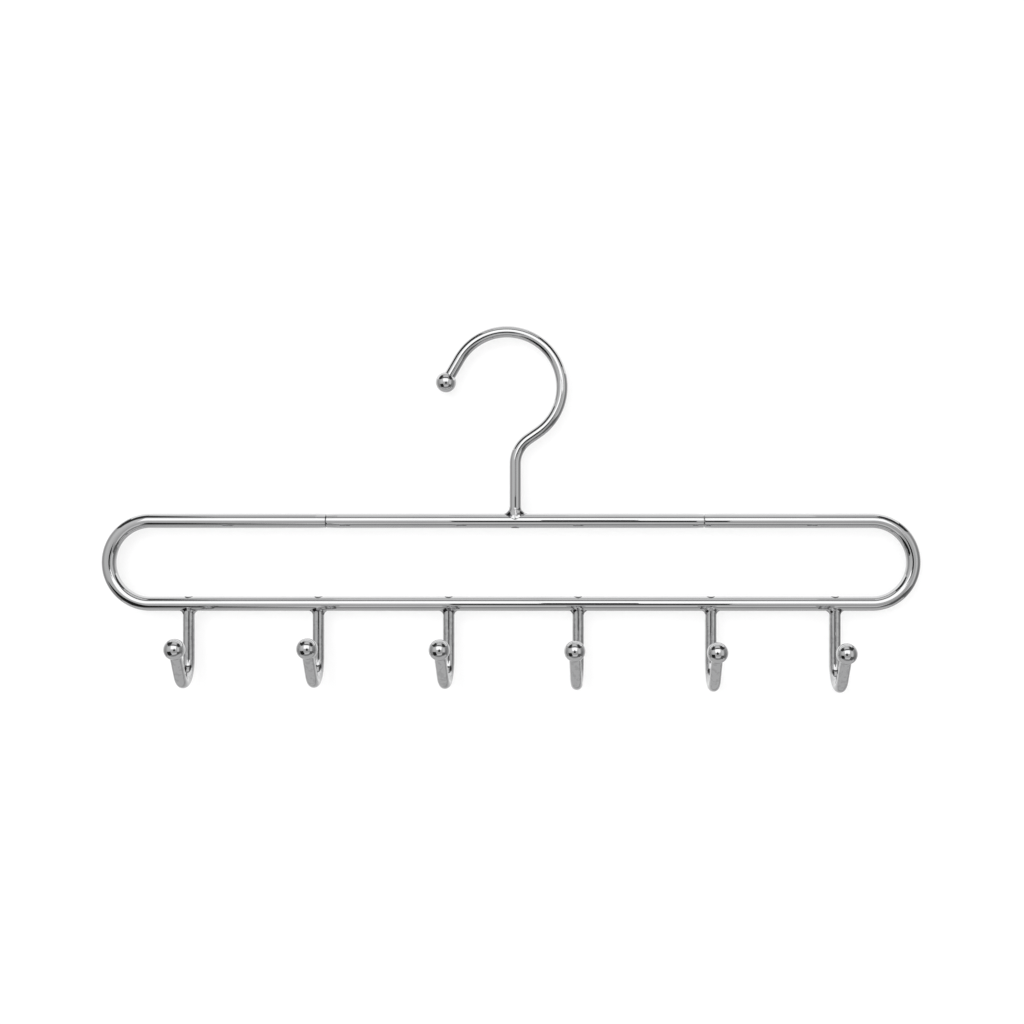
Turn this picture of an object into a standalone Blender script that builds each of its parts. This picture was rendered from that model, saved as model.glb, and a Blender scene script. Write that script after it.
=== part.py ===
"""Multi-hook hanger: a chrome frame that hangs from a closet rail.

A round bar is bent into a long loop, open at its top. A straight bar closes the loop and
carries the hanging hook. Six accessory hooks stand under the lower rail and turn up
towards the front. Every hook ends in a ball. Metres, +X right, -Y front, +Z up. The origin
is the highest point inside the hanging hook, where the hanger rests on the closet rail.
"""
import math

import bmesh
import bpy
from mathutils import Vector

# The frame: two rails joined by half-round ends
rail_diameter = 0.0070
frame_width = 0.4000
rail_spacing = 0.0405
crown_to_top_rail = 0.0895
frame_offset = -0.0020

# The straight bar in the top rail and the dowels in its two butt joints
centre_bar_length = 0.1840
butt_gap = 0.0003
dowel_diameter = 0.0040
dowel_length = 0.0160

# Rods, their tenons and their balls
rod_diameter = 0.0056
tenon_diameter = 0.0040
fitting_gap = 0.0003
end_bevel = 0.0004
ball_diameter = 0.0100
ball_bore_depth = 0.0055

# The hanging hook, from the closet rail down to its stem
hook_inner_diameter = 0.0482
stem_offset = 0.0041
neck_bend_radius = 0.0146
neck_straight = 0.0060
tip_straight = 0.0129
tip_start_angle = math.radians(150)

# The accessory hooks; each is a little unlike the next, as the hand-set originals are
accessory_drop = 0.0262
accessory_bend_radius = 0.0109
accessory_tip_straight = 0.0171
accessory_turn = math.radians(142)
station_shares = (-0.893, -0.534, -0.173, 0.1855, 0.553, 0.897)
drop_shares = (1.00, 0.99, 1.01, 1.03, 1.06, 1.08)
accessory_yaws = tuple(math.radians(angle) for angle in (3.3, 0.8, -2.7, -2.5, 1.2, 0.7))

# The weld fillets at the roots of the hooks
hanging_weld_reach = 0.0022
hanging_weld_height = 0.0028
accessory_weld_reach = 0.0015
accessory_weld_height = 0.0020
weld_edge = 0.0004
weld_wrap_share = 0.5

# How finely the round shapes are divided
rail_sides = 20
rod_sides = 14
hole_sides = 16
ball_sides = 18
weld_sides = 20
degrees_per_ring = 12
weld_curve_steps = 4
cutter_overrun = 0.0020
merge_distance = 0.00001
sharp_angle = math.radians(40)

# Worked out from the sizes above
rail_radius = rail_diameter / 2
rod_radius = rod_diameter / 2
tenon_radius = tenon_diameter / 2
ball_radius = ball_diameter / 2
bore_radius = rod_radius + fitting_gap
hole_radius = tenon_radius + fitting_gap
dowel_hole_radius = dowel_diameter / 2 + fitting_gap
dowel_hole_depth = (dowel_length - butt_gap) / 2 + fitting_gap
hook_radius = hook_inner_diameter / 2 + rod_radius
end_bend_radius = rail_spacing / 2
straight_half = frame_width / 2 - end_bend_radius - rail_radius
frame_centre_x = stem_offset + frame_offset
top_rail_z = -crown_to_top_rail
lower_rail_z = top_rail_z - rail_spacing
seat_gap_radius = rail_radius + fitting_gap

x_axis = Vector((1, 0, 0))
y_axis = Vector((0, 1, 0))
z_axis = Vector((0, 0, 1))


def steps_for(angle):
    """How many straight pieces stand in for a bend of this angle."""
    return max(2, round(abs(math.degrees(angle)) / degrees_per_ring))


def ring(centre, direction, side_axis, radius, sides):
    """A circle of points round centre, square to direction; point 0 lies along side_axis."""
    other = side_axis.cross(direction).normalized()
    points = []
    for index in range(sides):
        angle = 2 * math.pi * index / sides
        points.append(centre + radius * (math.cos(angle) * side_axis + math.sin(angle) * other))
    return points


def seated(points, cylinder_radius, side):
    """The same points moved up or down onto a cylinder along X through the origin."""
    return [Vector((p.x, p.y, side * math.sqrt(cylinder_radius ** 2 - p.y ** 2))) for p in points]


def bend(start, direction, towards, radius, angle):
    """Centres and directions along a bend that turns from direction to towards."""
    pivot = start + radius * towards
    path = []
    count = steps_for(angle)
    for index in range(1, count + 1):
        turn = angle * index / count
        centre = pivot + radius * (math.sin(turn) * direction - math.cos(turn) * towards)
        heading = math.cos(turn) * direction + math.sin(turn) * towards
        path.append((centre, heading))
    return path


def material(name, colour, roughness):
    """A polished metal."""
    made = bpy.data.materials.new(name)
    made.use_nodes = True
    shader = made.node_tree.nodes["Principled BSDF"]
    shader.inputs["Base Color"].default_value = (*colour, 1)
    shader.inputs["Metallic"].default_value = 1
    shader.inputs["Roughness"].default_value = roughness
    return made


def finished_mesh(name, shape):
    """The mesh of a closed shape, with its faces pointing out."""
    bmesh.ops.recalc_face_normals(shape, faces=shape.faces)
    made = bpy.data.meshes.new(name)
    shape.to_mesh(made)
    shape.free()
    return made


def add_skin(shape, rings, round_trip=False):
    """A closed skin over rings of points; round_trip joins the last ring to the first."""
    loops = [[shape.verts.new(point) for point in points] for points in rings]
    pairs = list(zip(loops, loops[1:]))
    if round_trip:
        pairs.append((loops[-1], loops[0]))
    for near, far in pairs:
        for index in range(len(near)):
            following = (index + 1) % len(near)
            shape.faces.new((near[index], near[following], far[following], far[index]))
    if not round_trip:
        shape.faces.new(reversed(loops[0]))
        shape.faces.new(loops[-1])


def mesh_from_rings(name, rings, round_trip=False):
    """One closed skin as a mesh."""
    shape = bmesh.new()
    add_skin(shape, rings, round_trip)
    return finished_mesh(name, shape)


def turned_mesh(name, profile, sides):
    """A profile of (radius, height) points, from axis to axis, turned round Z."""
    shape = bmesh.new()
    points = [shape.verts.new((radius, 0, height)) for radius, height in profile]
    edges = [shape.edges.new(pair) for pair in zip(points, points[1:])]
    bmesh.ops.spin(
        shape, geom=points + edges, cent=(0, 0, 0), axis=(0, 0, 1),
        angle=2 * math.pi, steps=sides, use_merge=True, use_duplicate=False,
    )
    bmesh.ops.remove_doubles(shape, verts=shape.verts, dist=merge_distance)
    return finished_mesh(name, shape)


def place(name, mesh, finish, location=(0, 0, 0), rotation=(0, 0, 0), parent=None):
    """An object for one piece, shaded smooth except at its real edges."""
    mesh.shade_smooth()
    mesh.set_sharp_from_angle(angle=sharp_angle)
    mesh.materials.clear()
    mesh.materials.append(finish)
    made = bpy.data.objects.new(name, mesh)
    made.location = location
    made.rotation_euler = rotation
    made.parent = parent
    bpy.context.scene.collection.objects.link(made)
    return made


def anchor(name, location, parent=None):
    """An empty that carries the pieces of one joint."""
    made = bpy.data.objects.new(name, None)
    made.location = location
    made.parent = parent
    bpy.context.scene.collection.objects.link(made)
    return made


def drill(bar, name, places):
    """Upright holes for tenons through a bar, at places along its own X."""
    depth = rail_radius + cutter_overrun
    shape = bmesh.new()
    for place_x in places:
        bottom = ring(Vector((place_x, 0, -depth)), z_axis, x_axis, hole_radius, hole_sides)
        top = ring(Vector((place_x, 0, depth)), z_axis, x_axis, hole_radius, hole_sides)
        add_skin(shape, [bottom, top])
    cutter = bpy.data.objects.new(name, finished_mesh(name, shape))
    cutter.parent = bar
    cutter.hide_render = True
    cutter.display_type = "WIRE"
    bpy.context.scene.collection.objects.link(cutter)
    cut = bar.modifiers.new("tenon_holes", "BOOLEAN")
    cut.operation = "DIFFERENCE"
    cut.solver = "EXACT"
    cut.object = cutter


def butt_end(centre, heading, into):
    """The rings of a bar's end with its dowel hole, from the hole's floor to the rim.

    heading is the way that the bar is swept, and into is the way to its metal.
    """
    floor = centre + dowel_hole_depth * into
    return [
        ring(floor, heading, y_axis, dowel_hole_radius, rail_sides),
        ring(centre, heading, y_axis, dowel_hole_radius, rail_sides),
        ring(centre, heading, y_axis, rail_radius, rail_sides),
    ]


def frame_loop():
    """Lower rail, both half-round ends and the two top returns, as one bent bar.

    Its own origin is the middle of the lower rail.
    """
    joint_x = centre_bar_length / 2 + butt_gap
    left_joint_x = -joint_x - frame_offset
    right_joint_x = joint_x - frame_offset
    left_end = Vector((left_joint_x, 0, rail_spacing))
    right_end = Vector((right_joint_x, 0, rail_spacing))
    path = [(Vector((-straight_half, 0, rail_spacing)), -x_axis)]
    path += bend(path[-1][0], -x_axis, -z_axis, end_bend_radius, math.pi)
    path.append((Vector((straight_half, 0, 0)), x_axis))
    path += bend(path[-1][0], x_axis, z_axis, end_bend_radius, math.pi)
    rings = butt_end(left_end, -x_axis, -x_axis)
    rings += [ring(centre, heading, y_axis, rail_radius, rail_sides) for centre, heading in path]
    rings += reversed(butt_end(right_end, -x_axis, x_axis))
    return mesh_from_rings("frame_loop", rings)


def centre_bar():
    """The straight bar between the two butt joints; its origin is under the hook's stem."""
    half = centre_bar_length / 2
    rings = butt_end(-half * x_axis, x_axis, x_axis)
    rings += reversed(butt_end(half * x_axis, x_axis, -x_axis))
    return mesh_from_rings("centre_bar", rings)


def dowel():
    """A pin along X with bevelled ends."""
    radius = dowel_diameter / 2
    half = dowel_length / 2
    rings = [
        ring(Vector((-half, 0, 0)), x_axis, y_axis, radius - end_bevel, hole_sides),
        ring(Vector((end_bevel - half, 0, 0)), x_axis, y_axis, radius, hole_sides),
        ring(Vector((half - end_bevel, 0, 0)), x_axis, y_axis, radius, hole_sides),
        ring(Vector((half, 0, 0)), x_axis, y_axis, radius - end_bevel, hole_sides),
    ]
    return mesh_from_rings("dowel", rings)


def rooted_rings(direction, side_axis):
    """The tenon through a rail and the shoulder on its skin, for a rod that leaves along Z.

    direction is +1 for a rod above its rail and -1 for one below.
    """
    heading = direction * z_axis
    flush = ring(Vector(), heading, side_axis, tenon_radius, rod_sides)
    shoulder = ring(Vector(), heading, side_axis, rod_radius, rod_sides)
    return [
        seated(flush, rail_radius, -direction),
        seated(flush, seat_gap_radius, direction),
        seated(shoulder, seat_gap_radius, direction),
    ]


def swept_rod(name, direction, side_axis, path):
    """A rod with its tenon, along a path of centres and headings."""
    rings = rooted_rings(direction, side_axis)
    rings += [ring(centre, heading, side_axis, rod_radius, rod_sides) for centre, heading in path]
    return mesh_from_rings(name, rings)


def socket_end(ball_centre, heading):
    """Where a rod ends inside its ball, given the way that it heads into it."""
    depth_past_centre = ball_bore_depth - ball_radius - fitting_gap
    return ball_centre + depth_past_centre * heading


def hanging_hook_path():
    """Centres and headings from the top rail to the tip, and the ball's centre and heading.

    The origin is the middle of the top rail under the stem.
    """
    hook_centre = Vector((-stem_offset, 0, crown_to_top_rail - hook_inner_diameter / 2))
    radii = hook_radius + neck_bend_radius
    centres_apart = math.hypot(radii, neck_straight)
    across = stem_offset + neck_bend_radius
    neck_angle = math.acos(across / centres_apart) - math.atan2(neck_straight, radii)
    stem_top = hook_centre.z - radii * math.sin(neck_angle) - neck_straight * math.cos(neck_angle)
    path = [(Vector((0, 0, stem_top)), z_axis)]
    path += bend(path[-1][0], z_axis, x_axis, neck_bend_radius, neck_angle)
    start, heading = path[-1]
    start = start + neck_straight * heading
    path.append((start, heading))
    inward = (hook_centre - start).normalized()
    path += bend(start, heading, inward, hook_radius, neck_angle + tip_start_angle)
    start, heading = path[-1]
    ball_centre = start + tip_straight * heading
    path.append((socket_end(ball_centre, heading), heading))
    return path, ball_centre, heading


def accessory_hook_path(drop):
    """Centres and headings from a lower rail's middle to the tip, and the ball's place."""
    path = [(Vector((0, 0, -drop)), -z_axis)]
    path += bend(path[-1][0], -z_axis, -y_axis, accessory_bend_radius, accessory_turn)
    start, heading = path[-1]
    ball_centre = start + accessory_tip_straight * heading
    path.append((socket_end(ball_centre, heading), heading))
    return path, ball_centre, heading


def ball():
    """A ball with a blind bore that opens towards -Z, for the rod's end."""
    mouth_angle = math.asin(bore_radius / ball_radius)
    floor_z = ball_bore_depth - ball_radius
    rows = ball_sides // 2
    profile = [(0, ball_radius)]
    for index in range(1, rows):
        angle = (math.pi - mouth_angle) * index / rows
        profile.append((ball_radius * math.sin(angle), ball_radius * math.cos(angle)))
    profile += [
        (bore_radius, -ball_radius * math.cos(mouth_angle)),
        (bore_radius, floor_z),
        (0, floor_z),
    ]
    return turned_mesh("ball", profile, ball_sides)


def weld(name, direction, reach, height):
    """A concave fillet between a rail along X and a rod that leaves it along Z."""
    inner = rod_radius + fitting_gap
    across = inner + (seat_gap_radius - inner) * weld_wrap_share
    along = inner + reach
    rings = []
    for index in range(weld_sides):
        angle = 2 * math.pi * index / weld_sides
        aim = Vector((math.cos(angle), math.sin(angle), 0))
        toe = seated([Vector((along * aim.x, across * aim.y, 0))], seat_gap_radius, 1)[0]
        corner = seated([inner * aim], seat_gap_radius, 1)[0]
        foot = inner * aim + (seat_gap_radius + height) * z_axis
        rail_normal = Vector((0, toe.y, toe.z)).normalized()
        toe_edge = toe + weld_edge * rail_normal
        foot_edge = foot + weld_edge * aim
        bulge = corner + weld_edge * (aim + z_axis)
        section = [toe]
        for step in range(weld_curve_steps + 1):
            t = step / weld_curve_steps
            section.append((1 - t) ** 2 * toe_edge + 2 * t * (1 - t) * bulge + t * t * foot_edge)
        section += [foot, corner]
        rings.append([Vector((p.x, p.y, direction * p.z)) for p in section])
    return mesh_from_rings(name, rings, round_trip=True)


def aim_rotation(heading):
    """The rotation that turns +Z to heading."""
    return heading.to_track_quat("Z", "Y").to_euler()


for old in list(bpy.data.objects):
    bpy.data.objects.remove(old, do_unlink=True)

chrome = material("polished_chrome", (0.80, 0.80, 0.82), 0.06)
weld_chrome = material("weld_chrome", (0.72, 0.72, 0.74), 0.14)
steel = material("bare_steel", (0.50, 0.50, 0.50), 0.35)

top_rail = anchor("top_rail_anchor", (stem_offset, 0, top_rail_z))
lower_rail = anchor("lower_rail_anchor", (frame_centre_x, 0, lower_rail_z))
stations = [share * straight_half for share in station_shares]

loop_bar = place("frame_loop", frame_loop(), chrome, parent=lower_rail)
drill(loop_bar, "accessory_tenon_cutter", stations)
middle_bar = place("centre_bar", centre_bar(), chrome, parent=top_rail)
drill(middle_bar, "hanging_tenon_cutter", [0])

dowel_x = (centre_bar_length + butt_gap) / 2
dowel_mesh = dowel()
place("left_joint_dowel", dowel_mesh, steel, (-dowel_x, 0, 0), parent=top_rail)
place("right_joint_dowel", dowel_mesh, steel, (dowel_x, 0, 0), parent=top_rail)

ball_mesh = ball()
hook_path, tip_centre, tip_heading = hanging_hook_path()
hook_mesh = swept_rod("hanging_hook", 1, y_axis, hook_path)
hook = place("hanging_hook", hook_mesh, chrome, parent=top_rail)
place("hanging_hook_ball", ball_mesh, chrome, tip_centre, aim_rotation(tip_heading), parent=hook)
hanging_weld = weld("hanging_hook_weld", 1, hanging_weld_reach, hanging_weld_height)
place("hanging_hook_weld", hanging_weld, weld_chrome, parent=top_rail)

accessory_weld = weld("accessory_hook_weld", -1, accessory_weld_reach, accessory_weld_height)
accessory_hooks = zip(stations, drop_shares, accessory_yaws)
for number, (station, share, yaw) in enumerate(accessory_hooks, start=1):
    seat = anchor(f"hook_anchor_{number}", (station, 0, 0), parent=lower_rail)
    path, tip_centre, tip_heading = accessory_hook_path(share * accessory_drop)
    rod_mesh = swept_rod(f"accessory_hook_{number}", -1, x_axis, path)
    rod = place(f"accessory_hook_{number}", rod_mesh, chrome, rotation=(0, 0, yaw), parent=seat)
    turn = aim_rotation(tip_heading)
    place(f"accessory_hook_ball_{number}", ball_mesh, chrome, tip_centre, turn, parent=rod)
    place(f"accessory_hook_weld_{number}", accessory_weld, weld_chrome, parent=seat)
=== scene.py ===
# %% [markdown]
# # A chrome closet hanger with six accessory hooks
#
# The exact construction of the hanger is already settled: bars, rods, balls and weld fillets stand
# in one shared frame, in metres, with +Z up and the front towards -Y. They are faceted, because
# they are made for fitting and for physics. This lesson gives the hanger its looks: every bar,
# rod, ball and fillet is made again with a fine, smooth skin in the same place, and gets the
# finish of bright chrome plate.

# %% Load the frame
import math

import bmesh
import bpy
from mathutils import Matrix, Vector


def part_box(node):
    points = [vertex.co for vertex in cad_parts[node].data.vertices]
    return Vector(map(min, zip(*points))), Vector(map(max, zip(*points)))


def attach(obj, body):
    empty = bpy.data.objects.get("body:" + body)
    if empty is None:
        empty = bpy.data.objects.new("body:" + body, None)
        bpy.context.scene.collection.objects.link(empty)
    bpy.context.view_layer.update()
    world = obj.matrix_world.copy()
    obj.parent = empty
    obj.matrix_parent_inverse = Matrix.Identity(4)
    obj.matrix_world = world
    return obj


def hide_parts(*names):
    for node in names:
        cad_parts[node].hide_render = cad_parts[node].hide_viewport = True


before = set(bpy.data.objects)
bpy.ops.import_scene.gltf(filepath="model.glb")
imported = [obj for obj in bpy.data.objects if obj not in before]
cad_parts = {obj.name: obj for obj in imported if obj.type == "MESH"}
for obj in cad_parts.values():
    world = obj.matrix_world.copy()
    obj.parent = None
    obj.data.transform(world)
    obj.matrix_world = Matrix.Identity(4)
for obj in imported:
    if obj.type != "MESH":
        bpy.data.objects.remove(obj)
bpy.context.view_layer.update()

x_axis = Vector((1, 0, 0))
y_axis = Vector((0, 1, 0))
z_axis = Vector((0, 0, 1))

# %% [markdown]
# ## The camera
#
# The picture was taken from straight in front, level with the top rail and a little right of the
# middle, so the camera isn't turned at all. The picture's frame is slid sideways instead, with
# the camera's shift, which keeps the rails parallel to the frame's edge. A normal lens at about
# 0.7 m gives the same slight perspective: the top of the lower rail just shows.

# %% The camera
camera_place = Vector((0.0406, -0.6835, -0.0852))
camera_lens_mm = 49.2
camera_sensor_mm = 36
camera_shift_x = -0.0762
camera_near = 0.01
camera_data = bpy.data.cameras.new("photo_camera")
camera_data.lens = camera_lens_mm
camera_data.sensor_width = camera_sensor_mm
camera_data.shift_x = camera_shift_x
camera_data.clip_start = camera_near
camera = bpy.data.objects.new("photo_camera", camera_data)
camera.location = camera_place
camera.rotation_euler = (math.pi / 2, 0, 0)
bpy.context.scene.collection.objects.link(camera)
bpy.context.scene.camera = camera
bpy.context.scene.view_settings.view_transform = "Standard"
print("camera", round(-camera_place.y, 3), "m in front of the hanger")

# %% [markdown]
# ## Writing materials as sums
#
# A material is a graph of nodes. Drawn by hand it is quick, but in a script the links soon hide
# what is meant. So one small class wraps a socket and gives it the usual operators: `1 - mask`
# adds a Math node and returns its output. The sheet that the nodes stand on has one method for
# every other kind of node.

# %% Signals
class Signal:
    """An output socket on a sheet of nodes; sums with it add Math nodes."""

    def __init__(self, sheet, socket):
        self.sheet = sheet
        self.socket = socket

    def __add__(self, other):
        return self.sheet.math("ADD", self, other)

    def __sub__(self, other):
        return self.sheet.math("SUBTRACT", self, other)

    def __rsub__(self, other):
        return self.sheet.math("SUBTRACT", other, self)

    def __mul__(self, other):
        return self.sheet.math("MULTIPLY", self, other)

    __radd__ = __add__
    __rmul__ = __mul__


print("a", Signal.__name__, "knows the signs + - *")

# %% A sheet of nodes
noise_roughness = 0.55
# A Mix node has one set of sockets for each kind of value; these are its colours' places
mix_low, mix_high, mix_result = 6, 7, 2


class Sheet:
    """The node tree of one material or of the world."""

    def __init__(self, tree):
        self.tree = tree
        self.tree.nodes.clear()

    def node(self, kind, settings=None, sockets=None, output=0):
        """A node of this kind: its settings, then its sockets' values or links."""
        made = self.tree.nodes.new(kind)
        for name, value in (settings or {}).items():
            if name == "stops":
                self.set_stops(made.color_ramp, value)
            else:
                setattr(made, name, value)
        for name, value in (sockets or {}).items():
            if isinstance(value, Signal):
                self.tree.links.new(value.socket, made.inputs[name])
            else:
                made.inputs[name].default_value = value
        return Signal(self, made.outputs[output]) if made.outputs else made

    def set_stops(self, ramp, stops):
        """Grey stops of a ramp as (place, level)."""
        while len(ramp.elements) < len(stops):
            ramp.elements.new(1)
        for element, (place, level) in zip(ramp.elements, stops):
            element.position = place
            element.color = (level, level, level, 1)

    def math(self, operation, left, right):
        """One Math node on numbers or signals."""
        return self.node("ShaderNodeMath", {"operation": operation}, {0: left, 1: right})

    def blend(self, factor, low, high):
        """A colour between low and high; a plain colour is given as three numbers."""
        low, high = (c if isinstance(c, Signal) else (*c, 1) for c in (low, high))
        sockets = {0: factor, mix_low: low, mix_high: high}
        return self.node("ShaderNodeMix", {"data_type": "RGBA"}, sockets, mix_result)

    def noise(self, place, scale, detail):
        """Cloudy noise between 0 and 1; scale is in blotches to the metre."""
        sockets = {
            "Vector": place, "Scale": scale, "Detail": detail, "Roughness": noise_roughness}
        return self.node("ShaderNodeTexNoise", {"noise_dimensions": "3D"}, sockets)


def new_sheet(name):
    """A new material and its empty sheet."""
    made = bpy.data.materials.new(name)
    made.use_nodes = True
    return made, Sheet(made.node_tree)


print("materials are written with", Sheet.__name__, "and", Signal.__name__)

# %% [markdown]
# ## Bright chrome plate
#
# Chrome plate is a very thin hard mirror over polished steel. A clean mirror looks like plastic in
# a render, because nothing real is so even. Three faint things make it metal: the bar under the
# plate is never quite straight, which bends the reflected lines a little; the polishing leaves
# soft clouds where the gloss is slightly lower; and hair-fine wiping marks catch the light.
# Chromium reflects a little over half of the light that meets it head on, so its own colour is a
# mid grey, and its whites are the reflections of a studio light.
#
# A picture of scratches could be laid over the metal, but it would need unwrapping and would
# repeat. Noise in the metal's own space needs neither, and one function makes every chrome here.

# %% Numbers for the chrome
chrome_grey = 0.56
chrome_gloss = 0.022
ripple_per_metre = 75
ripple_height = 0.000012
cloud_per_metre = 38
cloud_gloss_loss = 0.03
cloud_dulling = 0.6
wipe_per_metre = 900
wipe_gloss_loss = 0.02
cloud_stops = [(0.45, 0), (0.75, 1)]
wipe_stops = [(0.55, 0), (0.8, 1)]
pit_stops = [(0.50, 0), (0.60, 1)]
bright_tint = (1, 1.002, 1.01)
dull_tint = (0.93, 0.935, 0.945)
pit_colour = (0.10, 0.10, 0.105)
print("chrome of grey", chrome_grey, "and roughness", chrome_gloss)

# %% Chrome
def chrome(name, grey, roughness, height, ripple, stain):
    """Chrome plate; height is its ripple's in metres, ripple its waves to the metre.

    stain is how strong the dark pits are that plating leaves over a rough weld.
    """
    made, sheet = new_sheet(name)
    place = sheet.node("ShaderNodeTexCoord", output="Object")
    cloud = sheet.noise(place, cloud_per_metre, detail=3)
    wipe = sheet.noise(place, wipe_per_metre, detail=2)
    wave = sheet.noise(place, ripple, detail=1)
    haze = sheet.node("ShaderNodeValToRGB", {"stops": cloud_stops}, {0: cloud})
    marks = sheet.node("ShaderNodeValToRGB", {"stops": wipe_stops}, {0: wipe})
    gloss = roughness + cloud_gloss_loss * haze + wipe_gloss_loss * marks
    bright = tuple(grey * tint for tint in bright_tint)
    dull = tuple(grey * tint for tint in dull_tint)
    plain = sheet.blend(haze * cloud_dulling, bright, dull)
    pit = sheet.node("ShaderNodeValToRGB", {"stops": pit_stops}, {0: wave})
    colour = sheet.blend(pit * stain, plain, pit_colour)
    bump_sockets = {"Strength": 1.0, "Distance": height, "Height": wave}
    normal = sheet.node("ShaderNodeBump", None, bump_sockets)
    sockets = {"Base Color": colour, "Metallic": 1.0, "Roughness": gloss, "Normal": normal}
    skin = sheet.node("ShaderNodeBsdfPrincipled", None, sockets)
    sheet.node("ShaderNodeOutputMaterial", None, {"Surface": skin})
    return made


bar_chrome = chrome("bar_chrome", chrome_grey, chrome_gloss, ripple_height, ripple_per_metre, 0)
print("finish:", bar_chrome.name)

# %% [markdown]
# ## Three other skins
#
# The dressed welds keep the marks of the grinder, so their ripple is finer and deeper, and the
# plate has dark pits. The accessory hooks are bent so tightly that fine marks stay in their skin.
# The open joint round a tenon's head holds polish and shadow instead of plate. All three come from
# the same function, so that they still look like one metal.

# %% Welds, accessory hooks and open joints
weld_grey = chrome_grey * 0.94
weld_gloss = 0.05
weld_ripple_height = 0.000060
weld_ripple_per_metre = 420
weld_stain = 0.8
weld_chrome = chrome(
    "dressed_weld_chrome", weld_grey, weld_gloss, weld_ripple_height, weld_ripple_per_metre,
    weld_stain)
joint_grey = 0.05
joint_gloss = 0.30
joint_dark = chrome("open_joint", joint_grey, joint_gloss, ripple_height, ripple_per_metre, 0)
small_grey = chrome_grey * 0.97
small_gloss = 0.035
small_ripple_height = 0.000040
small_ripple_per_metre = 480
small_stain = 0.14
small_hook_chrome = chrome(
    "small_hook_chrome", small_grey, small_gloss, small_ripple_height, small_ripple_per_metre,
    small_stain)
print("finishes:", weld_chrome.name, small_hook_chrome.name, joint_dark.name)

# %% [markdown]
# ## Plain drawn steel
#
# The two dowels inside the butt joints aren't plated. Nobody sees them in use, but a model can be
# taken apart, so they get the dull grey of drawn steel with fine lines along their length. They
# keep their exact solids, and only their material changes.

# %% Drawn steel for the dowels
draw_line_per_metre = 5000
draw_line_stretch = (0.04, 1, 1)
steel_dark = (0.40, 0.40, 0.41)
steel_light = (0.56, 0.56, 0.55)
steel_gloss = 0.28
steel_gloss_range = 0.2


def drawn_steel():
    """Dull grey steel with fine lines along X."""
    made, sheet = new_sheet("drawn_steel")
    place = sheet.node("ShaderNodeTexCoord", output="Object")
    stretched = sheet.node(
        "ShaderNodeVectorMath", {"operation": "MULTIPLY"}, {0: place, 1: draw_line_stretch})
    line = sheet.noise(stretched, draw_line_per_metre, detail=2)
    colour = sheet.blend(line, steel_dark, steel_light)
    gloss = steel_gloss + steel_gloss_range * line
    sockets = {"Base Color": colour, "Metallic": 1.0, "Roughness": gloss}
    skin = sheet.node("ShaderNodeBsdfPrincipled", None, sockets)
    sheet.node("ShaderNodeOutputMaterial", None, {"Surface": skin})
    return made


steel = drawn_steel()
for dowel_name in ("left_joint_dowel", "right_joint_dowel"):
    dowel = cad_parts[dowel_name]
    dowel.data.materials.clear()
    dowel.data.materials.append(steel)
print("the dowels are now", steel.name)

# %% [markdown]
# ## Sweeping a bar
#
# Every bar and rod here is the same idea: a circle that travels along a line of straights and
# bends. A curve object with a bevel would do it, but the rounded ends and the shallow hollows
# beside the joints need a radius that changes on the way. So the circle's rings are laid directly
# and joined with faces. A ring may shrink to a single point, which closes an end.

# %% Rings and the skin over them
bar_sides = 72
rod_sides = 56


def ring(centre, heading, side_axis, radius, sides):
    """A circle of points round centre, square to heading; point 0 lies along side_axis."""
    if radius == 0:
        return [centre.copy()]
    other = side_axis.cross(heading).normalized()
    turns = [2 * math.pi * index / sides for index in range(sides)]
    return [centre + radius * (math.cos(t) * side_axis + math.sin(t) * other) for t in turns]


def bridge(shape, near, far):
    """Faces between two rings, either of which may be a single point."""
    count = max(len(near), len(far))
    for index in range(count):
        following = (index + 1) % count
        if len(near) == 1:
            shape.faces.new((near[0], far[following], far[index]))
        elif len(far) == 1:
            shape.faces.new((near[index], near[following], far[0]))
        else:
            shape.faces.new((near[index], near[following], far[following], far[index]))


def skin_mesh(name, rings, round_trip=False):
    """A closed smooth skin over rings; round_trip joins the last ring to the first."""
    shape = bmesh.new()
    loops = [[shape.verts.new(point) for point in points] for points in rings]
    for near, far in zip(loops, loops[1:]):
        bridge(shape, near, far)
    if round_trip:
        bridge(shape, loops[-1], loops[0])
    bmesh.ops.recalc_face_normals(shape, faces=shape.faces)
    mesh = bpy.data.meshes.new(name)
    shape.to_mesh(mesh)
    shape.free()
    mesh.shade_smooth()
    return mesh


print(f"bars have {bar_sides} sides and rods {rod_sides}")

# %% Straights and bends
bend_step = math.radians(2.5)
bend_steps_least = 4


def straight(start, heading, distances):
    """Centres and headings at distances along a straight."""
    return [(start + distance * heading, heading) for distance in distances]


def bend(start, heading, towards, radius, angle):
    """Centres and headings along a bend that turns from heading to towards."""
    pivot = start + radius * towards
    count = max(bend_steps_least, round(angle / bend_step))
    path = []
    for index in range(1, count + 1):
        turn = angle * index / count
        centre = pivot + radius * (math.sin(turn) * heading - math.cos(turn) * towards)
        path.append((centre, math.cos(turn) * heading + math.sin(turn) * towards))
    return path


print(f"a bend takes a ring every {math.degrees(bend_step):.1f} degrees")

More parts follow.
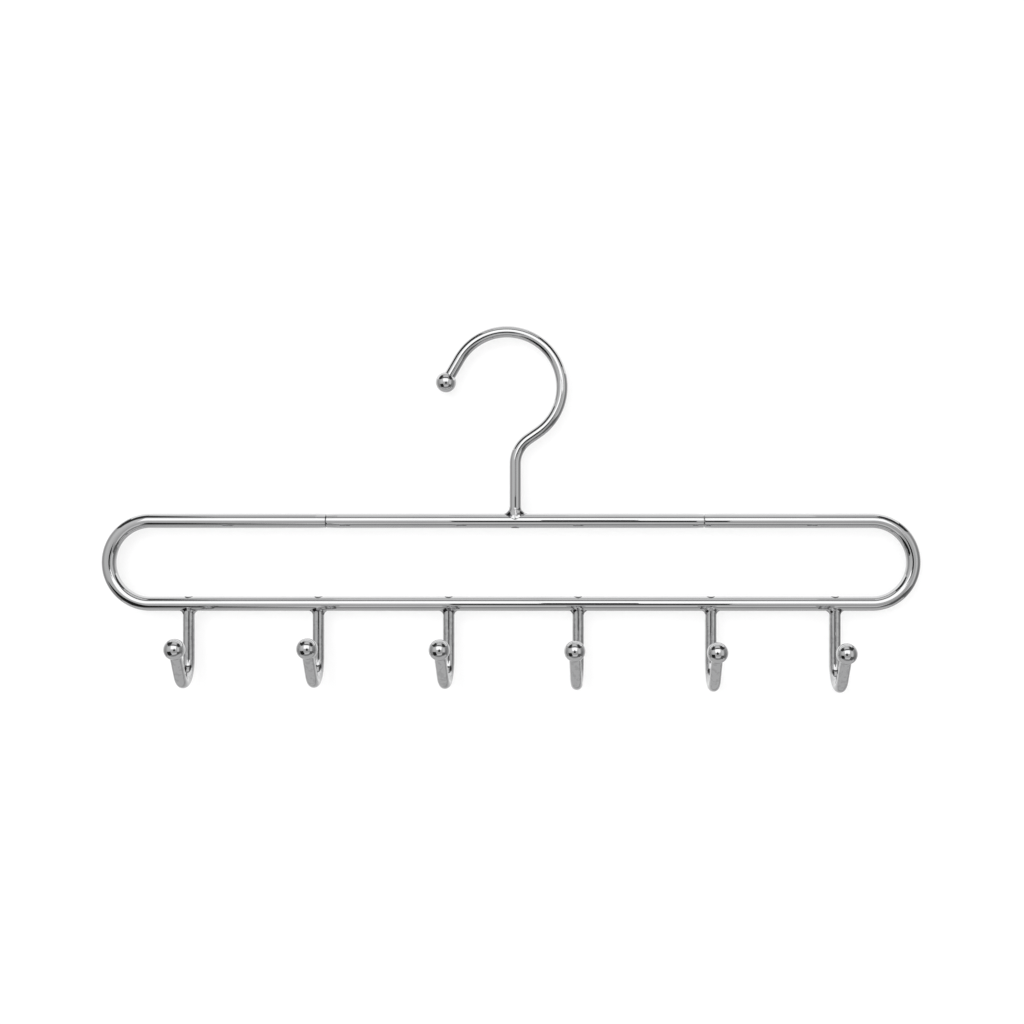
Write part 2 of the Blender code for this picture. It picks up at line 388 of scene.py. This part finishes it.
# %% One finished piece
def finish_piece(name, mesh, material, node):
    """The object of one piece, in place of its node and riding on the one body."""
    if not mesh.materials:
        mesh.materials.append(material)
    piece = bpy.data.objects.new(name, mesh)
    bpy.context.scene.collection.objects.link(piece)
    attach(piece, "root")
    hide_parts(node)
    node_low, node_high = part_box(node)
    low = Vector([min(v.co[axis] for v in mesh.vertices) for axis in range(3)])
    high = Vector([max(v.co[axis] for v in mesh.vertices) for axis in range(3)])
    apart = max(max(abs(a) for a in low - node_low), max(abs(a) for a in high - node_high))
    print(f"{name}: {len(mesh.polygons)} faces, box within {apart * 1000:.2f} mm of {node}")


# %% [markdown]
# ## The two bars of the frame
#
# The frame is two bars. A long one is bent into the lower rail, both half-round ends and two short
# returns; a straight one closes the gap in the top rail and carries the hanging hook. They meet
# end to end over a dowel, are welded, ground flush and plated. What stays visible is a fine line
# round the bar and a shallow hollow where the grinder passed. Both are real shape here: each bar's
# end has a tiny rounded edge, and its radius dips by about a tenth of a millimetre beside it.

# %% Sizes of the frame, read from its solids
bar_low, bar_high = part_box("centre_bar")
loop_low, loop_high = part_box("frame_loop")
bar_radius = (bar_high.z - bar_low.z) / 2
top_z = (bar_high.z + bar_low.z) / 2
low_z = loop_low.z + bar_radius
end_bend_radius = (top_z - low_z) / 2
left_bend_x = loop_low.x + bar_radius + end_bend_radius
right_bend_x = loop_high.x - bar_radius - end_bend_radius
print(f"bar {bar_radius * 2000:.2f} mm thick, rails {(top_z - low_z) * 1000:.1f} mm apart")

# %% The dressed ends of the bars
seam_width = 0.00018
edge_round = 0.00028
dressing_depth = 0.00012
dressing_length = 0.0030
dressing_end_share = 2.5
edge_rings = 5
dressing_rings = 14
butt_gap = 0.0003
left_seam_x = bar_low.x - butt_gap / 2
right_seam_x = bar_high.x + butt_gap / 2


def end_distances():
    """Where a bar's rings lie, from its end face inwards."""
    quarter = [math.pi / 2 * index / edge_rings for index in range(edge_rings + 1)]
    rounded = [edge_round * (1 - math.cos(turn)) for turn in quarter]
    reach = dressing_length * dressing_end_share
    dressed = [reach * index / dressing_rings for index in range(1, dressing_rings)]
    return rounded + [edge_round + distance for distance in dressed]


def dressed_radius(distance):
    """A bar's radius at a distance from its end: rounded edge, then a shallow hollow."""
    hollow = dressing_depth * math.exp(-(distance / dressing_length) ** 2)
    if distance < edge_round:
        rise = math.sqrt(edge_round ** 2 - (edge_round - distance) ** 2)
        return bar_radius - edge_round + rise - hollow
    return bar_radius - hollow


def dressed_end(seam_x, inward, travel):
    """Rings of a bar's end; inward leads into the bar and travel is the way of its sweep."""
    start = Vector((seam_x, 0, top_z)) + seam_width / 2 * inward
    rings = [[start]]
    for distance in end_distances():
        centre = start + distance * inward
        rings.append(ring(centre, travel, y_axis, dressed_radius(distance), bar_sides))
    return rings


print("seams at x =", round(left_seam_x, 4), round(right_seam_x, 4))

# %% The long bent bar
rail_steps = 40


def loop_bar_mesh():
    """Returns, half-round ends and lower rail, swept in one go from the left butt joint."""
    left_top = Vector((left_bend_x, 0, top_z))
    path = [(left_top, -x_axis)]
    path += bend(left_top, -x_axis, -z_axis, end_bend_radius, math.pi)
    span = right_bend_x - left_bend_x
    distances = [span * index / rail_steps for index in range(1, rail_steps + 1)]
    path += straight(path[-1][0], x_axis, distances)
    path += bend(path[-1][0], x_axis, z_axis, end_bend_radius, math.pi)
    rings = dressed_end(left_seam_x, -x_axis, -x_axis)
    rings += [ring(centre, heading, y_axis, bar_radius, bar_sides) for centre, heading in path]
    rings += reversed(dressed_end(right_seam_x, x_axis, -x_axis))
    return skin_mesh("loop_bar", rings)


finish_piece("loop_bar", loop_bar_mesh(), bar_chrome, "frame_loop")

# %% The straight bar
def carrier_bar_mesh():
    """The straight bar between the butt joints."""
    rings = dressed_end(left_seam_x, x_axis, x_axis)
    rings += reversed(dressed_end(right_seam_x, -x_axis, x_axis))
    return skin_mesh("carrier_bar", rings)


finish_piece("carrier_bar", carrier_bar_mesh(), bar_chrome, "centre_bar")

# %% [markdown]
# ## The balls
#
# Each hook ends in a solid ball, drilled and pressed onto the rod, so that nothing snags. A
# ready-made sphere would have no bore for the rod. The real ball is turned in a lathe, and it is
# made the same way here: half a profile is spun round the axis of its bore. The mouth of the bore
# has a small broken edge, which shows as a fine line where the rod goes in.

# %% A turned ball
ball_diameter = 0.0100
ball_bore_depth = 0.0055
rod_diameter = 0.0056
rod_radius = rod_diameter / 2
ball_radius = ball_diameter / 2
mouth_clearance = 0.00005
mouth_edge = 0.00015
ball_rows = 44
ball_turns = 72


def ball_mesh(name):
    """A ball round the origin whose bore opens towards -Z."""
    bore_radius = rod_radius + mouth_clearance
    mouth_angle = math.asin((bore_radius + mouth_edge) / ball_radius)
    floor_z = ball_bore_depth - ball_radius
    rings = [[Vector((0, 0, ball_radius))]]
    for index in range(1, ball_rows + 1):
        angle = (math.pi - mouth_angle) * index / ball_rows
        centre = ball_radius * math.cos(angle) * z_axis
        rings.append(ring(centre, z_axis, x_axis, ball_radius * math.sin(angle), ball_turns))
    lip_z = -ball_radius * math.cos(mouth_angle) + mouth_edge
    for height in (lip_z, floor_z):
        rings.append(ring(height * z_axis, z_axis, x_axis, bore_radius, ball_turns))
    rings.append([floor_z * z_axis])
    return skin_mesh(name, rings)


def aim(heading):
    """The turn that brings +Z to heading."""
    return heading.to_track_quat("Z", "Y").to_matrix().to_4x4()


print(f"ball {ball_diameter * 1000:.1f} mm, {ball_rows} rows by {ball_turns} turns")

# %% [markdown]
# ## Tenons with ground heads
#
# Each hook's end is turned down to a thin tenon, which goes right through the rail and was ground
# almost flush on the far side. The accessory hooks' tenons show in the picture as eye-shaped marks
# on top of the lower rail, with a dark ring where the plate didn't close the joint. The hanging
# hook's tenon ends out of sight, under the top rail. A head could be a painted mark, but it is
# real shape here: a few rings laid on the bar's round skin, the outer one in a dark finish.

# %% A tenon and its head
tenon_radius = 0.0020
head_radius = 0.00205
head_proud = 0.00012
head_rings = 7
head_crown_power = 0.7
head_edge_drop = 0.3
tenon_end_share = 0.6
shoulder_share = 0.75


def on_bar(x, y, height, direction):
    """A point over the bar's skin; direction is +1 for its upper side, -1 for its lower."""
    return Vector((x, y, direction * math.sqrt((bar_radius + height) ** 2 - y ** 2)))


def ground_head(direction, side_axis):
    """Rings of a head on the bar's skin and of the tenon inside, up to the rod's shoulder.

    direction is +1 for a head on top of the bar and -1 for one below it.
    """
    heading = -direction * z_axis
    rings = [[Vector((0, 0, direction * (bar_radius + head_proud)))]]
    for index in range(1, head_rings + 1):
        share = index / head_rings
        turn = share * math.pi / 2
        radius = head_radius * math.sin(turn)
        crown = head_proud * math.cos(turn) ** head_crown_power
        height = crown - head_proud * head_edge_drop * share ** 4
        flat = ring(Vector(), heading, side_axis, radius, rod_sides)
        rings.append([on_bar(p.x, p.y, height, direction) for p in flat])
    inside = (
        (-tenon_end_share, tenon_radius),
        (tenon_end_share, tenon_radius),
        (shoulder_share, rod_radius))
    for share, radius in inside:
        rings.append(ring(share * bar_radius * heading, heading, side_axis, radius, rod_sides))
    return rings


print(f"head {head_radius * 2000:.1f} mm across, {head_proud * 1000:.2f} mm proud")

# %% The dark ring round a head
head_ring_width = 0.0007


def mark_joint(mesh, direction, finish):
    """Give the rod its finish and the outer ring of its head the dark of an open joint."""
    mesh.materials.append(finish)
    mesh.materials.append(joint_dark)
    for face in mesh.polygons:
        away = math.hypot(face.center.x, face.center.y)
        height = direction * face.center.z
        if height > tenon_end_share * bar_radius and away > head_radius - head_ring_width:
            face.material_index = 1


print(f"dark ring {head_ring_width * 1000:.1f} mm wide")

# %% [markdown]
# ## The hanging hook
#
# A rod stands on the top rail, bends right in a short neck, climbs a few millimetres straight, runs
# over the closet rail in a round arc and ends in a short straight with the ball. All of it lies in
# one plane. It could be traced over the picture as a free curve, but a traced curve wobbles. Here
# the arcs are tangent to the straights between them, as in a real bent rod, so the neck's angle
# follows from the two radii, the straight and how far the stem stands off the middle.

# %% Sizes of the hanging hook
hook_inner_diameter = 0.0482
stem_x = (bar_low.x + bar_high.x) / 2
neck_bend_radius = 0.0146
neck_straight = 0.0060
tip_straight = 0.0129
tip_start_angle = math.radians(150)
hook_radius = hook_inner_diameter / 2 + rod_radius
print(f"hook {hook_inner_diameter * 1000:.1f} mm inside, rod {rod_diameter * 1000:.1f} mm")

# %% A rod and its ends
end_support = 0.00015


def socket_end(ball_centre, heading):
    """Where a rod ends inside its ball's bore."""
    return ball_centre + (ball_bore_depth - ball_radius - mouth_clearance) * heading


def rod_mesh(name, path, side_axis, start_rings):
    """A rod swept along path after its start rings, closed at the far end.

    A second ring stands close to each end, so that smooth shading rounds only the end itself.
    """
    (first, first_heading), (last, last_heading) = path[0], path[-1]
    after = (first + end_support * first_heading, first_heading)
    before = (last - end_support * last_heading, last_heading)
    path = [path[0], after] + path[1:-1] + [before, path[-1]]
    rings = start_rings
    rings += [ring(centre, heading, side_axis, rod_radius, rod_sides) for centre, heading in path]
    rings.append([last])
    return skin_mesh(name, rings)


print(f"a rod goes {(ball_bore_depth - mouth_clearance) * 1000:.2f} mm into its ball")

# %% The hanging hook
def hanging_hook():
    """The mesh of the rod over the top rail's middle, its ball's centre and the way into it."""
    hook_centre = Vector((-stem_x, 0, -top_z - hook_inner_diameter / 2))
    radii = hook_radius + neck_bend_radius
    centres_apart = math.hypot(radii, neck_straight)
    across = stem_x + neck_bend_radius
    neck_angle = math.acos(across / centres_apart) - math.atan2(neck_straight, radii)
    stem_top = hook_centre.z - radii * math.sin(neck_angle) - neck_straight * math.cos(neck_angle)
    path = straight(Vector((0, 0, bar_radius)), z_axis, [0, stem_top - bar_radius])
    path += bend(path[-1][0], z_axis, x_axis, neck_bend_radius, neck_angle)
    start, heading = path[-1]
    start = start + neck_straight * heading
    path.append((start, heading))
    inward = (hook_centre - start).normalized()
    path += bend(start, heading, inward, hook_radius, neck_angle + tip_start_angle)
    start, heading = path[-1]
    ball_centre = start + tip_straight * heading
    path.append((socket_end(ball_centre, heading), heading))
    mesh = rod_mesh("rail_hook", path, y_axis, ground_head(-1, y_axis))
    mark_joint(mesh, -1, bar_chrome)
    return mesh, ball_centre, heading


hook_place = Matrix.Translation((stem_x, 0, top_z))
hook_mesh, hook_ball_centre, hook_tip_heading = hanging_hook()
hook_mesh.transform(hook_place)
finish_piece("rail_hook", hook_mesh, bar_chrome, "hanging_hook")
hook_ball_mesh = ball_mesh("rail_hook_ball")
hook_ball_mesh.transform(
    hook_place @ Matrix.Translation(hook_ball_centre) @ aim(hook_tip_heading))
finish_piece("rail_hook_ball", hook_ball_mesh, bar_chrome, "hanging_hook_ball")

# %% [markdown]
# ## The accessory hooks
#
# Six shorter rods hang under the lower rail. Each drops straight, turns up towards the front and
# ends in its ball. One hook could be copied six times, but the real ones were set by hand, so the
# drop and the aim differ a little from one to the next. So each is swept with its own two numbers.

# %% Sizes of the accessory hooks
accessory_drop = 0.0262
accessory_bend_radius = 0.0109
accessory_tip_straight = 0.0171
accessory_turn = math.radians(142)
drop_shares = (1.00, 0.99, 1.01, 1.03, 1.06, 1.08)
yaw_degrees = (3.3, 0.8, -2.7, -2.5, 1.2, 0.7)
print("drops in mm:", [round(share * accessory_drop * 1000, 1) for share in drop_shares])

# %% Six accessory hooks
def accessory_hook(number, drop):
    """The mesh of the rod round the lower rail's middle, its ball's centre and its heading."""
    path = straight(Vector((0, 0, -bar_radius)), -z_axis, [0, drop - bar_radius])
    path += bend(path[-1][0], -z_axis, -y_axis, accessory_bend_radius, accessory_turn)
    start, heading = path[-1]
    ball_centre = start + accessory_tip_straight * heading
    path.append((socket_end(ball_centre, heading), heading))
    mesh = rod_mesh(f"small_hook_{number}", path, x_axis, ground_head(1, x_axis))
    mark_joint(mesh, 1, small_hook_chrome)
    return mesh, ball_centre, heading


seats = []
for number, (drop_share, yaw) in enumerate(zip(drop_shares, yaw_degrees), start=1):
    weld_low, weld_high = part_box(f"accessory_hook_weld_{number}")
    seat = Vector(((weld_low.x + weld_high.x) / 2, 0, low_z))
    turn = Matrix.Translation(seat) @ Matrix.Rotation(math.radians(yaw), 4, "Z")
    mesh, ball_centre, heading = accessory_hook(number, drop_share * accessory_drop)
    mesh.transform(turn)
    node = f"accessory_hook_{number}"
    finish_piece(f"small_hook_{number}", mesh, small_hook_chrome, node)
    mesh = ball_mesh(f"small_hook_ball_{number}")
    mesh.transform(turn @ Matrix.Translation(ball_centre) @ aim(heading))
    node = f"accessory_hook_ball_{number}"
    finish_piece(f"small_hook_ball_{number}", mesh, bar_chrome, node)
    seats.append(seat)
print("stations at x =", [round(seat.x, 4) for seat in seats])

# %% [markdown]
# ## The weld fillets
#
# Where a rod meets a rail, a ring of weld fills the corner. It is ground by hand to a smooth flare
# and plated with the rest. A fillet like this could come from a boolean and a wide bevel, but a
# bevel along a saddle-shaped corner is never clean. So its section is drawn at many angles round
# the rod: a curve that leaves the rail's skin nearly flat and comes in nearly flat on the rod.
# Slow waves in its reach, different for each weld, stand for the hand that ground it.

# %% Where a fillet starts on the rail
fillet_sink = 0.00003
fillet_inset = 0.0006
toe_lift = math.radians(10)


def toe_points(angle, reach, hand, wrap):
    """A fillet's start on the rail at one angle, and its handle and inner corner."""
    out = Vector((math.cos(angle), math.sin(angle), 0))
    across = rod_radius + (bar_radius - rod_radius) * wrap
    along = rod_radius + reach * hand
    toe = on_bar(along * out.x, across * out.y, -fillet_sink, 1)
    normal = Vector((0, toe.y, toe.z)).normalized()
    back = (-out - (-out).dot(normal) * normal).normalized()
    climb = math.cos(toe_lift) * back + math.sin(toe_lift) * normal
    inner = (rod_radius - fillet_inset) * out
    corner = on_bar(inner.x, inner.y, -fillet_inset, 1)
    return out, toe, climb, corner


print(f"a fillet leaves the rail at {math.degrees(toe_lift):.0f} degrees")

# %% A ground fillet
fillet_sides = 96
fillet_steps = 14
handle_share = 0.38
slow_wave = 0.07
fast_wave = 0.04


def fillet_mesh(name, direction, reach, height, wrap, phase):
    """A flared ring between a rail along X and a rod along Z.

    wrap is how far it reaches round the rail (0 the rod's width, 1 the rail's), and phase varies
    the hand's waves.
    """
    rings = []
    for index in range(fillet_sides):
        angle = 2 * math.pi * index / fillet_sides
        slow = slow_wave * math.sin(angle + phase)
        hand = 1 + slow + fast_wave * math.sin(3 * angle + 2 * phase)
        out, toe, climb, corner = toe_points(angle, reach, hand, wrap)
        foot_height = bar_radius + height * (2 - hand)
        foot = (rod_radius - fillet_sink) * out + foot_height * z_axis
        handle = handle_share * (foot - toe).length
        near, far = toe + handle * climb, foot - handle * z_axis
        section = [corner]
        for step in range(fillet_steps + 1):
            t = step / fillet_steps
            u = 1 - t
            point = u ** 3 * toe + 3 * u * u * t * near + 3 * u * t * t * far + t ** 3 * foot
            section.append(point)
        rings.append([Vector((p.x, p.y, direction * p.z)) for p in section])
    return skin_mesh(name, rings, round_trip=True)


print(f"a fillet has {fillet_sides} sections of {fillet_steps} steps")

# %% Seven fillets
hanging_reach = 0.0031
hanging_height = 0.0036
hanging_wrap_share = 0.93
accessory_reach = 0.0018
accessory_height = 0.0023
accessory_wrap_share = 0.5
hanging_phase = 0.6
phase_step = 1.7
mesh = fillet_mesh(
    "rail_hook_weld", 1, hanging_reach, hanging_height, hanging_wrap_share, hanging_phase)
mesh.transform(Matrix.Translation((stem_x, 0, top_z)))
finish_piece("rail_hook_weld", mesh, weld_chrome, "hanging_hook_weld")
for number, seat in enumerate(seats, start=1):
    name = f"small_hook_weld_{number}"
    mesh = fillet_mesh(
        name, -1, accessory_reach, accessory_height, accessory_wrap_share, phase_step * number)
    mesh.transform(Matrix.Translation(seat))
    finish_piece(name, mesh, weld_chrome, f"accessory_hook_weld_{number}")

# %% [markdown]
# ## The studio
#
# Polished metal has no looks of its own: it shows the room. The picture was taken in white
# surroundings with one broad light behind and above the camera. Seen in the bars, that light is a
# bright line, and the camera with its stand is the dark line next to it. The walls between are
# grey, darkest straight to the sides, which gives round metal its dark rims. So the room is a
# white world, a pale sheet behind and below, and a round tent of graded grey with cards in it.
# Tent and cards stay hidden from the camera itself, and only the metal sees them.

# %% The world
def light_path_white(sheet):
    """1 for rays from the camera and from shiny or clear things, 0 for the rest."""
    path = sheet.node("ShaderNodeLightPath", output="Is Camera Ray")
    outputs = path.socket.node.outputs
    glossy = Signal(sheet, outputs["Is Glossy Ray"])
    clear = Signal(sheet, outputs["Is Transmission Ray"])
    return sheet.math("MAXIMUM", sheet.math("MAXIMUM", path, glossy), clear)


world_fill = 0.75
world = bpy.data.worlds.new("studio_world")
world.use_nodes = True
bpy.context.scene.world = world
sheet = Sheet(world.node_tree)
strength = world_fill + (1 - world_fill) * light_path_white(sheet)
white = (1, 1, 1, 1)
air = sheet.node("ShaderNodeBackground", None, {"Color": white, "Strength": strength})
sheet.node("ShaderNodeOutputWorld", None, {"Surface": air})
print("world strength for diffuse surfaces:", world_fill)

# %% [markdown]
# ## The pale sheet
#
# A hanger photographed for a shop hangs just in front of a white sheet that runs down and forward
# in one sweep, so no corner shows. A plain wall would be simpler, but the floor would end in a
# line. The sheet's front glows almost white for the camera and still takes the hanger's faint
# shadow. Its back is see-through, so that a camera behind the hanger sees the hanger.

# %% A pale sheet behind and below
paper_gap = 0.011
paper_floor_z = -0.36
paper_half_width = 1.6
paper_height = 1.1
paper_depth = 1.6
cove_radius = 0.10
cove_steps = 12
paper_glow_share = 0.72
paper_white = (0.93, 0.93, 0.93, 1)


def paper_material():
    """Pale paper that the camera sees almost white, with the object's faint shadow."""
    made, sheet = new_sheet("pale_paper")
    diffuse = sheet.node("ShaderNodeBsdfDiffuse", None, {"Color": paper_white})
    glow = sheet.node("ShaderNodeEmission", None, {"Color": white, "Strength": 1.0})
    share = light_path_white(sheet) * paper_glow_share
    front = sheet.node("ShaderNodeMixShader", None, {0: share, 1: diffuse, 2: glow})
    clear = sheet.node("ShaderNodeBsdfTransparent")
    behind = sheet.node("ShaderNodeNewGeometry", output="Backfacing")
    both = sheet.node("ShaderNodeMixShader", None, {0: behind, 1: front, 2: clear})
    sheet.node("ShaderNodeOutputMaterial", None, {"Surface": both})
    return made


def paper_profile():
    """Points (y, z) from the sheet's top edge, down the cove and out over the floor."""
    points = [(paper_gap, paper_height)]
    for index in range(cove_steps + 1):
        turn = math.pi / 2 * index / cove_steps
        y = paper_gap - cove_radius + cove_radius * math.cos(turn)
        points.append((y, paper_floor_z + cove_radius - cove_radius * math.sin(turn)))
    return points + [(-paper_depth, paper_floor_z)]


print("the sheet's line has", len(paper_profile()), "points")

# %% The sheet's mesh, with its front towards the camera
merge_distance = 0.0001
shape = bmesh.new()
for (y0, z0), (y1, z1) in zip(paper_profile(), paper_profile()[1:]):
    edge = ((-1, y0, z0), (-1, y1, z1), (1, y1, z1), (1, y0, z0))
    corners = [shape.verts.new((side * paper_half_width, y, z)) for side, y, z in edge]
    shape.faces.new(corners)
bmesh.ops.remove_doubles(shape, verts=shape.verts, dist=merge_distance)
paper_mesh = bpy.data.meshes.new("paper")
shape.to_mesh(paper_mesh)
shape.free()
paper_mesh.shade_smooth()
paper_mesh.materials.append(paper_material())
paper = bpy.data.objects.new("paper", paper_mesh)
bpy.context.scene.collection.objects.link(paper)
print("paper", paper_gap, "m behind the hanger, floor", paper_floor_z, "m")

# %% [markdown]
# ## The tent and its cards
#
# Around the metal stands what a photographer would build: a tent of white cloth with lit panels
# and dark flags in it. Here the tent's walls don't take light: they glow, and their greys are
# painted light and shade, lighter above and to the left as lit cloth would be. Lamps alone could
# light the bars, but a mirror shows only what stands around it, and under lamps alone it would be
# flat with a few hot spots.
# Each card's place was found by asking which way the bars and balls mirror at a line of the
# picture. Most cards are given by the way to them from the room's middle and by their width and
# height as seen from there, all in degrees.

# %% What only the metal sees
room_centre = Vector((0.02, 0, -0.09))


def metal_only(thing):
    """Hide a stage object from the camera, from diffuse light and from shadows."""
    thing.visible_camera = False
    thing.visible_diffuse = False
    thing.visible_shadow = False


def direction(away, around):
    """A unit vector away (degrees) from the way to the camera; around is 0 right and 90 up."""
    t, p = math.radians(away), math.radians(around)
    return Vector((math.sin(t) * math.cos(p), -math.cos(t), math.sin(t) * math.sin(p)))


print("straight up is", tuple(round(part, 2) for part in direction(90, 90)))

# %% The tent's greys
tent_radius = 2.0
tent_full = 1.25
tent_painted_lift = 0.48
tent_painted_lean = 0.18
# Painted grey of the tent's glow as (place from its back to its front, share of tent_full)
tent_painted_greys = [(0.0, 0.80), (0.15, 0.74), (0.27, 0.58), (0.36, 0.36), (0.46, 0.30),
              (0.60, 0.32), (0.70, 0.46), (0.85, 0.56), (1.0, 0.58)]


def painted_tent_material():
    """Painted light and shade as glow: grey by the way from the tent's middle, lighter above and to
    the left.
    """
    made, sheet = new_sheet("tent")
    place = sheet.node("ShaderNodeTexCoord", output="Object")
    parts = sheet.node("ShaderNodeSeparateXYZ", None, {0: place})
    outputs = parts.socket.node.outputs
    across, depth, height = (Signal(sheet, outputs[axis]) for axis in "XYZ")
    front = 0.5 - depth * (0.5 / tent_radius)
    grey = sheet.node("ShaderNodeValToRGB", {"stops": tent_painted_greys}, {0: front})
    # Painted light: the glow grows upwards and towards the left, as on cloth lit from above and the
    # left
    painted_tilt = 1 + height * (tent_painted_lift / tent_radius) - across * (tent_painted_lean / tent_radius)
    dark = sheet.node("ShaderNodeEmission", None, {"Color": white, "Strength": 0.0})
    light = sheet.node("ShaderNodeEmission", None, {"Color": white, "Strength": tent_full})
    wall = sheet.node("ShaderNodeMixShader", None, {0: grey * painted_tilt, 1: dark, 2: light})
    sheet.node("ShaderNodeOutputMaterial", None, {"Surface": wall})
    return made


print("the tent goes through", len(tent_painted_greys), "greys from back to front")

# %% The tent
tent_rings = 36
tent_sides = 64
rings = [[-tent_radius * y_axis]]
for index in range(1, tent_rings):
    turn = math.pi * index / tent_rings
    centre = -tent_radius * math.cos(turn) * y_axis
    rings.append(ring(centre, y_axis, x_axis, tent_radius * math.sin(turn), tent_sides))
rings.append([tent_radius * y_axis])
tent_mesh = skin_mesh("tent", rings)
tent_mesh.materials.append(painted_tent_material())
tent = bpy.data.objects.new("tent", tent_mesh)
tent.location = room_centre
bpy.context.scene.collection.objects.link(tent)
metal_only(tent)
paper.visible_glossy = False
print("tent of", tent_radius, "m round", tuple(round(value, 3) for value in room_centre))

# %% A card
cards = []


def card(name, centre, right, up, radiance):
    """A flat card; right and up are its half sides as vectors."""
    made, sheet = new_sheet(name)
    glow = sheet.node("ShaderNodeEmission", None, {"Color": white, "Strength": radiance})
    sheet.node("ShaderNodeOutputMaterial", None, {"Surface": glow})
    centre, right, up = Vector(centre), Vector(right), Vector(up)
    mesh = bpy.data.meshes.new(name)
    corners = [centre - right - up, centre + right - up, centre + right + up, centre - right + up]
    mesh.from_pydata(corners, [], [(0, 1, 2, 3)])
    mesh.materials.append(made)
    flat = bpy.data.objects.new(name, mesh)
    bpy.context.scene.collection.objects.link(flat)
    metal_only(flat)
    cards.append(flat)


def facing_card(name, away, around, distance, width, height, radiance):
    """A card square to its way from the room's centre, its sides as angles in degrees."""
    way = direction(away, around)
    right = way.cross(z_axis).normalized()
    up = right.cross(way)
    half_width = distance * math.tan(math.radians(width / 2))
    half_height = distance * math.tan(math.radians(height / 2))
    centre = room_centre + distance * way
    card(name, centre, half_width * right, half_height * up, radiance)


print("cards face", tuple(round(value, 3) for value in room_centre))

# %% Cards in the tent
# Above: the broad light, a dark strip over it, the ceiling, and a light behind the hanger
facing_card("front_light", 27, 90, 1.40, 56, 42, 1.80)
facing_card("light_bar_gap", 51, 90, 1.25, 95, 14, 0.16)
# The ceiling is no lamp: its glow is painted light, a lit ceiling as the metal would show it
facing_card("ceiling", 78, 90, 1.30, 30, 34, 0.85)
card("back_light", (0.02, 0.17, 0.10), (0.36, 0, 0), (0, 0.15, 0), 1.25)
# Dark flags that the balls show as four dark corners
facing_card("upper_right_gap", 86, 46, 1.20, 46, 36, 0.05)
facing_card("upper_left_gap", 86, 134, 1.20, 46, 36, 0.05)
facing_card("lower_left_gap", 58, 220, 1.20, 38, 34, 0.02)
facing_card("lower_right_gap", 66, 318, 1.20, 32, 30, 0.14)
# Panels to the right and below, a darker strip, and the floor
facing_card("right_panel", 52, 0, 1.30, 26, 44, 0.85)
facing_card("low_panel", 44, 270, 1.30, 60, 18, 0.85)
facing_card("floor_gap", 66, 270, 1.20, 60, 15, 0.32)
# The floor panel is no lamp: its glow is painted light, a lit floor as the metal would show it
facing_card("floor_panel", 98, 270, 1.25, 124, 48, 0.68)
# The camera and its stand, straight in front
camera_grey = 0.02
card("camera_stand", (camera_place.x, -0.72, -0.196), (0.140, 0, 0), (0, 0, 0.126), camera_grey)
card("camera_head", (camera_place.x, -0.70, -0.010), (0.048, 0, 0), (0, 0, 0.060), camera_grey)
print("cards in the tent:", len(cards))

# %% [markdown]
# ## One soft lamp
#
# The lamp gives the paper its plain level and lays the hanger's faint shadow just below it and to
# the right, as in the picture. It is large, so the shadow has no hard edge.

# %% The lamp
lamp_watts = 11
lamp_width = 0.9
lamp_height = 0.7
lamp_place = (-0.20, -1.35, 0.28)
lamp_data = bpy.data.lights.new("soft_lamp", "AREA")
lamp_data.shape = "RECTANGLE"
lamp_data.size = lamp_width
lamp_data.size_y = lamp_height
lamp_data.energy = lamp_watts
lamp = bpy.data.objects.new("soft_lamp", lamp_data)
lamp.location = lamp_place
lamp.rotation_euler = (room_centre - lamp.location).to_track_quat("-Z", "Y").to_euler()
lamp.visible_glossy = False
bpy.context.scene.collection.objects.link(lamp)
print("lamp", lamp_data.energy, "W")
